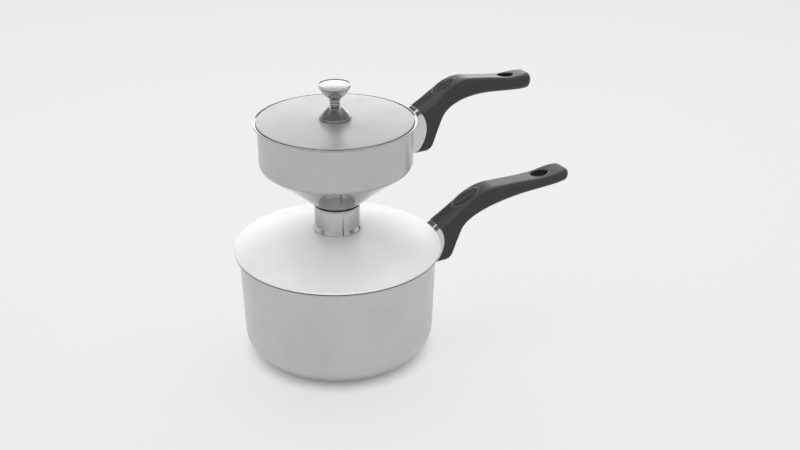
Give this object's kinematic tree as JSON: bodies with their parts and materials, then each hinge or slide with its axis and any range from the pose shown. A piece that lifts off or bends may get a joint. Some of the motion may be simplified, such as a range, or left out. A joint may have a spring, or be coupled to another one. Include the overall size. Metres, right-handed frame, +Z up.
{
  "type": "couscous steamer",
  "caption": "Stacked stovetop couscous steamer: long-handled pot, domed lid with a chimney collar, funnel-bottomed steamer pan and flat cover with a turned knob.",
  "frame": {"origin": "centre of the pot's flat base, on the surface it stands on", "axes": "+Z up the axis of the stack, +X out along both handles"},
  "size_m": [0.3527, 0.1926, 0.2619],
  "materials": {
    "satin_steel": "satin",
    "mirror_steel": "mirror polished",
    "grip_plastic": "satin moulded",
    "plain_steel": "plain"
  },
  "bodies": {
    "pot": {"pot_shell": "satin_steel", "pot_bracket": "plain_steel", "pot_ferrule": "mirror_steel", "pot_grip": "grip_plastic", "pot_washer": "plain_steel", "pot_screw": "plain_steel"},
    "steam_lid": {"steam_lid_dome": "satin_steel", "chimney_collar": "mirror_steel"},
    "steamer": {"steamer_shell": "satin_steel", "steamer_spout": "mirror_steel", "steamer_bracket": "plain_steel", "steamer_ferrule": "mirror_steel", "steamer_grip": "grip_plastic", "steamer_washer": "plain_steel", "steamer_screw": "plain_steel"},
    "grid": {"steam_grid": "satin_steel"},
    "cover": {"cover_dome": "satin_steel", "knob_base": "mirror_steel", "knob_spacer": "mirror_steel", "knob_cup": "mirror_steel", "knob_cap": "mirror_steel", "knob_washer": "plain_steel", "knob_screw": "plain_steel", "knob_nut": "plain_steel"}
  },
  "joints": [
    {"name": "steam_lid_lift", "type": "slide", "parent": "pot", "child": "steam_lid", "axis": [0, 0, 1], "range_m": [0, 0.08]},
    {"name": "steamer_lift", "type": "slide", "parent": "steam_lid", "child": "steamer", "axis": [0, 0, 1], "range_m": [0, 0.08]},
    {"name": "grid_lift", "type": "slide", "parent": "steamer", "child": "grid", "axis": [0, 0, 1], "range_m": [0, 0.035]},
    {"name": "cover_lift", "type": "slide", "parent": "steamer", "child": "cover", "axis": [0, 0, 1], "range_m": [0, 0.08]}
  ]
}
